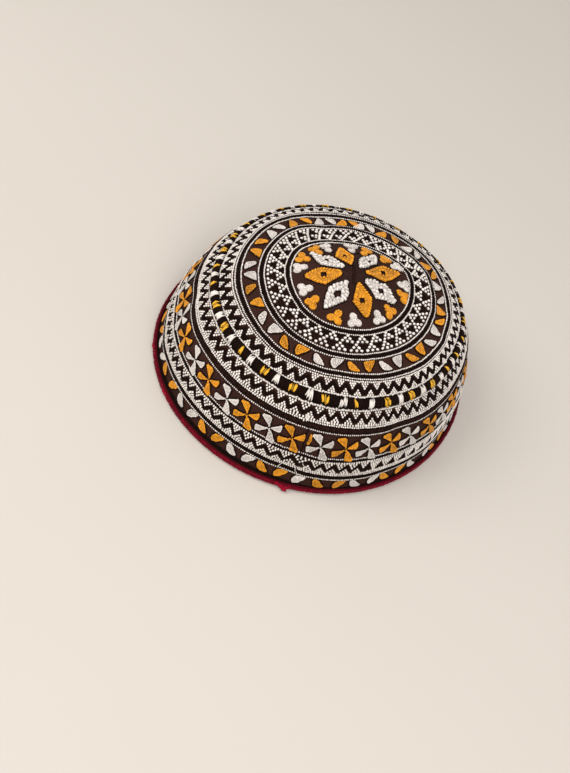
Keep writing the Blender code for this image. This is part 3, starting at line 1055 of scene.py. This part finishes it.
class SKULLCAP_OT_medallion(CapOperator, bpy.types.Operator):
    """Sews the lozenges and trefoils in the middle of the crown"""

    bl_idname = "skullcap.medallion"
    bl_label = "Medallion"
    seed = 11

    def lozenge(self, threads, lobes, dark, size, outline, middle):
        """A lozenge of underlay, with ropes of slanting loops round its edge and its hole, and a fill
        between them darkened as painted shade.
        """
        x, y, half_wide, half_high = middle
        hole = ((x + half_wide, y), (x, y + half_high), (x - half_wide, y), (x, y - half_high))
        length, width, height = size
        lay_flat(threads, filled_shape(outline, UNDERLAY, None, hole), 0.45, self.noise)
        # Painted shade: the fill between the ropes is sewn in a darker tone (middle=0.1), for the shade
        # that falls between them.
        lay_flat(lobes, filled_shape(outline, (length * 0.8, width), None, hole, 0.9),
                 height * 0.4, self.noise, middle=0.1)
        for border, inset in ((outline, length * 0.36), (hole, -length * 0.34)):
            edge, ways = walk_round(border, width * 1.36, inset)
            lay_flat(lobes, grains(edge, ways + ROPE_SLANT, length, width), height, self.noise)
        lay_flat(dark, edging(outline, 0.35, 1.5, 0.9), 0.5, self.noise)
        lay_flat(dark, edging(hole, -0.25, 1.3, 0.8), 0.8, self.noise, 0.1)

    def lobe(self, threads, lobes, dark, centre, middle):
        """One lobe of a trefoil: a boss with a ring of loops and a dark line on both sides."""
        way = centre - middle
        heading = math.degrees(math.atan2(way[1], way[0]))
        spot = middle + way * 0.26
        lay_flat(lobes, grains([spot], heading, 5.0, 4.4), 1.0, self.noise)
        turns = np.arange(8) * 45.0 + 22.5
        rim = np.column_stack([np.cos(np.radians(turns)) * 1.65, np.sin(np.radians(turns)) * 1.4])
        lay_flat(threads, grains(spot + turned(rim, heading), heading + turns + 90, 1.4, 1.4),
                 1.0, self.noise, 0.28)
        lay_flat(threads, grains([spot], heading, 2.1, 0.95), 0.9, self.noise, 0.42)
        flanks = [middle + (turned([way], side)[0] - way) * 0.40 for side in LOBE_FLANKS]
        lay_flat(dark, grains(flanks, heading + np.array(LOBE_FLANKS), 3.2, 1.0), 0.5, self.noise)

    def work(self):
        threads, lobes, dark = two_colours(), two_colours(), Stitches()
        for tone, outline, middle in LOZENGES:
            self.lozenge(threads[tone], lobes[tone], dark, LOOPS[tone], outline, middle)
        for tone, *middles in TREFOILS:
            for middle in np.array(middles):
                self.lobe(threads[tone], lobes[tone], dark, np.mean(middles, 0), middle)
        # Painted shade: two lines of dark stitches along the crease stand for its shade, and are sewn
        # with the dark edging.
        along = np.arange(-6.0, 7.5, 1.2)
        for side in (-0.55, 0.55):
            crease = turned(np.column_stack([along, np.full(len(along), side)]), CREASE_HEADING)
            lay_flat(dark, grains(crease, CREASE_HEADING, 1.5, 0.45), 0.4, self.noise, 0.1)
        for tone, silk in SILKS.items():
            sew(f"medallion_{tone}_loops", threads[tone], "bead", silk, "crown", 12)
            sew(f"medallion_{tone}_trefoils", lobes[tone], "lobe", silk, "crown", 13)
        sew("medallion_dark_edging_and_crease_shade", dark, "cotton", "black", "crown", 14)


class SKULLCAP_OT_lattice(CapOperator, bpy.types.Operator):
    """Sews the two rows of small triangles round the medallion"""

    bl_idname = "skullcap.lattice"
    bl_label = "Lattice"
    seed = 21

    def work(self):
        white, black = Stitches(), Stitches()
        tips = np.array(LATTICE_TIPS)
        following = np.append(tips[1:], tips[0] + 360)
        second_steps = (np.roll(following, -1) - following) % 360
        for places, apex, steps in (
                (LATTICE_ROWS[0], tips, following - tips),
                (LATTICE_ROWS[1], (tips + following) / 2 + 0.8, second_steps)):
            for index, place in enumerate(places):
                for stitches, middle, count, pitch, slope, scale in (
                        (white, apex, index + 1, 0.31, 28.0, 1.55),
                        (black, apex + steps / 2, 3 - index, 0.2, -50.0, 1.2)):
                    for shift in centred(count):
                        self.beads(stitches, middle + shift * steps * pitch, place,
                                   slope * np.sign(shift), scale)
        sew("lattice_white_beads", white, "bead", "white", "crown", 22)
        sew("lattice_black_beads", black, "bead", "black", "crown", 23)


class SKULLCAP_OT_rows(CapOperator, bpy.types.Operator):
    """Sews the dotted white rows and the black bands"""

    bl_idname = "skullcap.rows"
    bl_label = "Dotted rows and bands"
    seed = 31

    def work(self):
        sides = {"crown": (Stitches(), Stitches()), "side_band": (Stitches(), Stitches())}
        for _, place, share in DOTTED_ROWS:
            count = ring_count(place, self.given.bead_pitch * (0.6 + 0.4 * share))
            self.beads(sides[node_at(place)][0], evenly(count), place, 22.0, share)
        for _, places in BLACK_BANDS:
            for index, place in enumerate(places):
                count = ring_count(place, 0.95)
                sides[node_at(place)][1].lay(evenly(count, 0.5 * index), place, (38.0, -38.0)[index],
                                             (1.5, 0.9, 0.75), self.tones(count, 0.35))
        _, place, length = CROSS_BAND
        count = ring_count(place, 0.80)
        cross = Stitches()
        cross.lay(evenly(count), place, 90 + self.noise.normal(0, 6, count),
                  (length, 0.72, 0.85), self.tones(count, 0.35, 0.3))
        sew("band_cross_stitches", cross, "cotton", "brown", "side_band", 34)
        for part, node in (("crown", "crown"), ("band", "side_band")):
            white, black = sides[node]
            sew(f"{part}_dotted_rows", white, "bead", "white", node, 32)
            sew(f"{part}_black_bands", black, "cotton", "black", node, 33)


class SKULLCAP_OT_zigzags(CapOperator, bpy.types.Operator):
    """Sews the three black zigzags and the white triangles on both sides of them"""

    bl_idname = "skullcap.zigzags"
    bl_label = "Zigzags"
    seed = 41

    def triangles(self, white, centres, repeat, spacing, places, slope):
        """White beads in rows of five, three, two and one."""
        for count, place in zip((5, 3, 2, 1), places):
            for shift in centred(count) if place is not None else ():
                heading = -slope * np.sign(shift) if count < 5 and shift else 90.0
                share = FOOT_SPACING if count == 5 else spacing
                self.beads(white, centres + shift * repeat * share, place, heading, TRIANGLE_BEAD)

    def lone_triangles(self, white, black, centres, pitch, repeat, crest, trough):
        """Full black triangles with white beads between them, where no line zigzags."""
        for row, place in enumerate(np.linspace(crest - 0.35, trough + 0.55, 5)):
            side = (row + 1.2) * 0.50
            for shift in centred(row + 1):
                self.beads(black, centres + shift * LONE_BEAD / pitch * repeat, place, 90.0)
            number = round(float(pitch.mean() - side * 2) / LONE_BEAD)
            for bead in range(number):
                shift = (side + (bead + 0.5) / number * (pitch - 2 * side)) / pitch
                self.beads(white, centres + shift * repeat, place, 90.0)

    def work(self):
        for name, crest, trough, width, spacing, hanging, standing, known, total in ZIGZAGS:
            white, black = Stitches(), Stitches()
            lower = name == "lower_zigzag"
            upright = 82.0 if lower else 76.0
            crests = round_the_cap(known, total)
            following = np.append(crests[1:], crests[0] + 360)
            troughs, repeat = (crests + following) / 2, following - crests
            radius = ring_radius(np.radians(crests), crest * MM) / MM
            lone = (crests > LONE_TRIANGLES[0]) & (crests < LONE_TRIANGLES[1]) & lower
            line = ~lone
            if lower:
                self.lone_triangles(white, black, crests[lone], np.radians(repeat[lone]) * radius[lone],
                                    repeat[lone], crest, trough)
            steps = round(float((np.radians(repeat / 2) * radius).mean()) / 0.58)
            count = line.sum()
            for share in (np.arange(steps) + 0.5) / steps:
                depth = min(max(share * 1.4 - 0.2, 0.0), 1.0)
                for start, way in ((crests, 1), (following, -1)):
                    black.lay((start + way * share * repeat / 2)[line], crest + depth * (trough - crest),
                              90 + self.noise.normal(0, 7, count), (width, 0.8, 0.85),
                              self.tones(count, 0.35))
            self.triangles(white, troughs[line], repeat[line], spacing, hanging, upright)
            self.triangles(white, crests[line], repeat[line], spacing, standing, -upright)
            for place in (hanging[0], hanging[1], standing[1] + 0.25):
                self.triangles(white, troughs[lone], repeat[lone], spacing, (place,), upright)
            sew(f"{name}_white_beads", white, "bead", "white", node_at(crest), 42)
            sew(f"{name}_black_line", black, "cotton", "black", node_at(crest), 43)


class SKULLCAP_OT_leaves(CapOperator, bpy.types.Operator):
    """Sews the leaf pairs of the crown and those above the rim"""

    bl_idname = "skullcap.leaves"
    bl_label = "Leaf pairs"
    seed = 51

    def work(self):
        last, first = sum(RIM_LEAVES[-1][1:]) / 2, sum(RIM_LEAVES[0][1:]) / 2 + 360
        gaps = round((first - last) / RIM_LEAF_STEP)
        hidden = []
        for index in range(1, gaps):
            middle = last + (first - last) * index / gaps
            hidden.append((("white", "orange")[index % 2], middle - 3.5, middle + 3.5))
        for name, node, pairs, outlines, width, top, seed in (
                ("crown", "crown", CROWN_LEAVES, CROWN_OUTLINES, LEAF_WIDTH, LEAF_TOP, 52),
                ("rim", "side_band", [*RIM_LEAVES, *hidden], RIM_OUTLINES, RIM_LEAF_WIDTH,
                 RIM_LEAF_TOP, 54)):
            threads, dark = two_colours(), Stitches()
            for tone, *angles in pairs:
                for outline, angle in zip(outlines, angles):
                    if angle is not None:
                        leaf = [(x - width / 2, y) for x, y in outline]
                        lay_on_ring(threads[tone], silk_shape(leaf, self.grain), angle, top, 0.8,
                                    self.noise, 0.2)
                        lay_on_ring(dark, edging(leaf, 0.42, 1.4, 0.95), angle, top, 0.5, self.noise)
            for tone, silk in SILKS.items():
                sew(f"{name}_{tone}_leaves", threads[tone], "silk", silk, node, seed)
            sew(f"{name}_leaf_edging", dark, "cotton", "black", node, seed + 1)


class SKULLCAP_OT_pinwheels(CapOperator, bpy.types.Operator):
    """Sews the four-petalled pinwheels round the side band"""

    bl_idname = "skullcap.pinwheels"
    bl_label = "Pinwheels"
    seed = 61

    def loose_threads(self, threads):
        """White threads that lie over the join, and a small stack of stitches above it."""
        for line in LOOSE_THREADS:
            for (angle, place), (next_angle, next_place) in zip(line, line[1:]):
                run, drop = (next_angle - angle) * DEGREE_LENGTH, next_place - place
                threads.lay((angle + next_angle) / 2, (place + next_place) / 2,
                            math.degrees(math.atan2(drop, run)),
                            (math.hypot(run, drop) * 1.3, 0.42, 0.45), 0.7, 0.75)
        threads.lay(291.8 + self.noise.normal(0, 0.4, 9), np.linspace(82.3, 85.6, 9), 80.0,
                    (1.8, 0.8, 0.7), 0.8, 0.5)

    def work(self):
        angles = round_the_cap(PINWHEELS, PINWHEEL_COUNT)
        dark = Stitches()
        for tone, mine in (("orange", angles[0::2]), ("white", angles[1::2])):
            threads = Stitches()
            for petal in PETALS:
                x, y = np.mean(petal, 0)
                shape = silk_shape(petal, self.grain, math.degrees(math.atan2(y, x)))
                lay_on_ring(threads, shape, mine, PINWHEEL_TRAVEL, 0.8, self.noise, 0.3)
                lay_on_ring(dark, edging(petal, 0.40, 1.4, 0.9), mine, PINWHEEL_TRAVEL, 0.45, self.noise)
            if tone == "orange":
                lay_on_ring(threads, silk_shape(JOIN_SLIVER, self.grain, 90.0), 295.4, 91.0, 0.7,
                            self.noise, 0.2)
            else:
                self.loose_threads(threads)
            sew(f"pinwheel_{tone}_petals", threads, "silk", SILKS[tone], "side_band", 62)
        down = np.arange(JOIN_TOP, JOIN_FOOT, 1.1)
        dark.lay(293.8 + (down - JOIN_TOP) * 0.075, down, 84.0, (1.6, 0.62, 0.6), 0.3, 0.2)
        sew("pinwheel_edging_and_join", dark, "cotton", "black", "side_band", 63)


class SKULLCAP_OT_braid(CapOperator, bpy.types.Operator):
    """Works the raised braid over the seam, black with yellow and white blocks"""

    bl_idname = "skullcap.braid"
    bl_label = "Seam braid"
    seed = 71

    def yellow_block(self, yellow, at, shape, middle, lift):
        """Three strands side by side, or four round a crossing one."""
        lean = self.noise.normal(0, 6) + (14 if shape == "bar" else 0)
        for side, tone in BAR_STRANDS if shape == "bar" else RING_STRANDS:
            flare = 8 * side if shape == "hoop" else 0
            yellow.lay(at + side, middle + self.noise.normal(0, 0.12),
                       90 - lean + flare + self.noise.normal(0, 3), (4.7, 0.85, 0.7),
                       self.tones(1, tone, 0.1), lift + 0.1 + 0.2 * (tone > 0))
        for end in (1.9, -1.9) if shape == "loop" else ():
            yellow.lay(at, middle + end, self.noise.normal(0, 8), (1.9, 0.9, 0.7), self.tones(1),
                       lift + 0.1)

    def white_block(self, white, at, middle, lift):
        """Five strands that spread a little to one end or stay straight."""
        fan = self.noise.choice((-10.0, 0.0, 0.0, 10.0))
        wide = self.noise.uniform(0.75, 1.2)
        for strand in np.linspace(-1, 1, 5):
            white.lay(at + strand * wide, middle + self.noise.normal(0, 0.25),
                      90 - fan * strand + self.noise.normal(0, 4),
                      (5.3 + self.noise.normal(0, 0.4), 0.8, 0.7), self.tones(1, 0.7), lift + 0.3)

    def work(self):
        turns = evenly(BRAID_CORNERS) * math.pi / 180
        ring_of_section("seam_braid_core", np.column_stack([
            SEAM_TRAVEL + BRAID_WIDTH / 2 * np.cos(turns),
            FIT_GAP + BRAID_HEIGHT * 1.1 * np.maximum(np.sin(turns), 0.0)]),
            "black", "seam_braid")

        yellow_at = round_the_cap(BRAID_YELLOW, BRAID_COUNT)
        white_at = (yellow_at + np.append(yellow_at[1:], yellow_at[0] + 360)) / 2
        white_at[1:len(BRAID_WHITE) + 1] = BRAID_WHITE
        middle, lift = SEAM_TRAVEL / MM, BRAID_HEIGHT / MM + 0.8
        black, yellow, white, edge = Stitches(), Stitches(), Stitches(), Stitches()
        count = ring_count(middle, 0.68)
        black.lay(evenly(count), middle + self.noise.normal(0, 0.08, count),
                  90 + self.noise.normal(0, 7, count), (5.4, 0.75, 0.6), self.tones(count, 0.4), lift)
        for index, at in enumerate(yellow_at):
            shape = BRAID_SHAPES[index % len(BRAID_SHAPES)]
            self.yellow_block(yellow, at, shape, middle, lift)
        for at in white_at:
            self.white_block(white, at, middle, lift)
        sew("seam_braid_black_wraps", black, "wrap", "black", "seam_braid", 72)
        sew("seam_braid_yellow_wraps", yellow, "wrap", "yellow", "seam_braid", 72)
        sew("seam_braid_white_wraps", white, "wrap", "white_braid", "seam_braid", 72)
        for place in (middle - 2.95, middle + 3.0):
            count = ring_count(place, 1.5)
            edge.lay(evenly(count), place + self.noise.normal(0, 0.22, count),
                     self.noise.normal(0, 26, count), (1.75, 0.95, 0.9), self.tones(count, 0.65), 0.3)
        sew("seam_braid_white_edges", edge, "bead", "white_braid", "seam_braid", 73)


class SKULLCAP_OT_binding(CapOperator, bpy.types.Operator):
    """Folds the crimson braid round the rim, with its plait, fuzz and knot"""

    bl_idname = "skullcap.binding"
    bl_label = "Rim binding"
    seed = 81

    def work(self):
        top = CLOTH_LENGTH - 1.7 * MM
        outer, inner = FIT_GAP, -BAND_WALL - FIT_GAP
        wall = BINDING_WALL - 0.35 * MM
        fold = CLOTH_LENGTH + FIT_GAP
        foot = CLOTH_LENGTH + CLOTH_EDGE_Z
        ring_of_section("rim_binding_core", [
            (top, outer), (top + 0.2 * MM, outer + wall * 0.8), (top + 0.6 * MM, outer + wall),
            (foot - 1.5 * MM, outer + wall), (foot - 0.7 * MM, outer + wall * 0.6),
            (foot - 0.2 * MM, outer), (foot, outer - 0.6 * MM), (foot, inner),
            (foot - 0.2 * MM, inner - wall * 0.7), (foot - 0.8 * MM, inner - wall),
            (top + 0.6 * MM, inner - wall), (top + 0.2 * MM, inner - wall * 0.8), (top, inner),
            (fold, inner), (fold, outer)], "crimson", "rim_binding")

        plait, fuzz = Stitches(), Stitches()
        lift = (outer + wall + CLOTH_SINK) / MM
        for place, heading in ((124.1, 32.0), (125.3, -32.0)):
            count = ring_count(place, 1.25)
            plait.lay(evenly(count, self.noise.normal(0, 0.12, count)), place,
                      heading + self.noise.normal(0, 9, count), (1.9, 0.95, 0.75),
                      self.tones(count), lift)
        for angle, place, loops in KNOTS_OF_BRAID:
            turns = self.noise.normal(0, 0.8, loops)
            heap = np.exp(-(turns / 1.1) ** 2) * self.noise.uniform(0.1, 1.0, loops)
            plait.lay(angle + turns, place + self.noise.uniform(-1.0, 0.0, loops),
                      self.noise.uniform(0, 180, loops), (2.7, 1.4, 1.2), self.tones(loops, 1.0),
                      lift + 0.2 + 0.08 * loops * heap)
        sew("rim_binding_plait", plait, "bead", "crimson", "rim_binding", 82)
        count = FUZZ_HAIRS
        fuzz.lay(self.noise.uniform(0, 360, count), self.noise.uniform(123.6, 125.3, count),
                 self.noise.uniform(-28, 28, count),
                 (self.noise.uniform(1.6, 3.8, count), 0.15, 0.15), self.tones(count, 0.9),
                 lift + self.noise.uniform(0.2, 0.8, count))
        sew("rim_binding_fuzz", fuzz, "hair", "crimson", "rim_binding", 83)


class SKULLCAP_OT_stage(bpy.types.Operator):
    """Sets the floor, the soft lights and the camera"""

    bl_idname = "skullcap.stage"
    bl_label = "Floor, lights and camera"

    def execute(self, context):
        scene = context.scene
        form = bmesh.new()
        bmesh.ops.create_circle(form, cap_ends=True, segments=96, radius=FLOOR_RADIUS)
        mesh = bpy.data.meshes.new("floor")
        form.to_mesh(mesh)
        form.free()
        mesh.materials.append(finish("floor"))
        put("floor", mesh)

        for name, spot, size, power, tint in LIGHTS:
            lamp = bpy.data.lights.new(name, "AREA")
            lamp.shape, lamp.size, lamp.energy, lamp.color = "DISK", size, power, tint
            away = Vector(spot) - Vector((0.0, 0.0, AIM_HEIGHT))
            turn = away.to_track_quat("Z", "Y").to_matrix().to_4x4()
            put(name, lamp).matrix_world = Matrix.Translation(spot) @ turn

        scene.world = bpy.data.worlds.new("soft_room")
        scene.world.use_nodes = True
        backdrop = scene.world.node_tree.nodes["Background"]
        backdrop.inputs["Color"].default_value = (*ROOM_COLOUR, 1.0)
        backdrop.inputs["Strength"].default_value = ROOM_STRENGTH
        scene.view_settings.view_transform = "Standard"

        lens = bpy.data.cameras.new("camera")
        lens.lens, lens.sensor_width = CAMERA_LENS, 36.0
        lens.clip_start, lens.clip_end = CAMERA_REACH
        scene.camera = put("camera", lens)
        scene.camera.matrix_world = Matrix.Translation(CAMERA_SPOT)
        for degrees, axis in CAMERA_TURNS:
            scene.camera.matrix_world @= Matrix.Rotation(math.radians(degrees), 4, axis)
        return {"FINISHED"}


FLOOR_RADIUS = 4.0
CAMERA_SPOT = (0.1189, -0.4629, 0.4596)
CAMERA_TURNS = ((15.2, "Z"), (44.35, "X"), (26.03, "Z"))
CAMERA_LENS = 55.885
CAMERA_REACH = (0.01, 20.0)
ROOM_COLOUR = (0.98, 0.96, 0.95)
ROOM_STRENGTH = 0.58
AIM_HEIGHT = 0.03
LIGHTS = (
    # name, place, size, power, colour
    ("window_left", (-0.9, -0.5, 1.1), 1.0, 15.0, (1.0, 0.98, 0.95)),
    ("window_front", (0.7, -1.1, 1.2), 1.2, 26.0, (1.0, 0.98, 0.97)),
    ("ceiling", (0.1, 0.5, 1.6), 1.4, 4.4, (0.98, 0.98, 1.0)),
)


class SKULLCAP_PT_panel(bpy.types.Panel):
    """Lists the steps of the work"""

    bl_label = "Embroidered skullcap"
    bl_idname = "SKULLCAP_PT_panel"
    bl_space_type = "VIEW_3D"
    bl_region_type = "UI"
    bl_category = "Skullcap"

    def draw(self, context):
        for name in SkullcapSettings.__annotations__:
            self.layout.prop(context.scene.skullcap, name)
        for step in STEPS:
            self.layout.operator(step.bl_idname)


STEPS = (SKULLCAP_OT_cloth, SKULLCAP_OT_medallion, SKULLCAP_OT_lattice, SKULLCAP_OT_rows,
         SKULLCAP_OT_zigzags, SKULLCAP_OT_leaves, SKULLCAP_OT_pinwheels, SKULLCAP_OT_braid,
         SKULLCAP_OT_binding, SKULLCAP_OT_stage)
CLASSES = (SkullcapSettings, *STEPS, SKULLCAP_PT_panel)


def register():
    for item in CLASSES:
        bpy.utils.register_class(item)
    bpy.types.Scene.skullcap = bpy.props.PointerProperty(type=SkullcapSettings)


def unregister():
    del bpy.types.Scene.skullcap
    for item in reversed(CLASSES):
        bpy.utils.unregister_class(item)


def main():
    register()
    for step in STEPS:
        group, name = step.bl_idname.split(".")
        getattr(getattr(bpy.ops, group), name)()


if __name__ == "__main__":
    main()
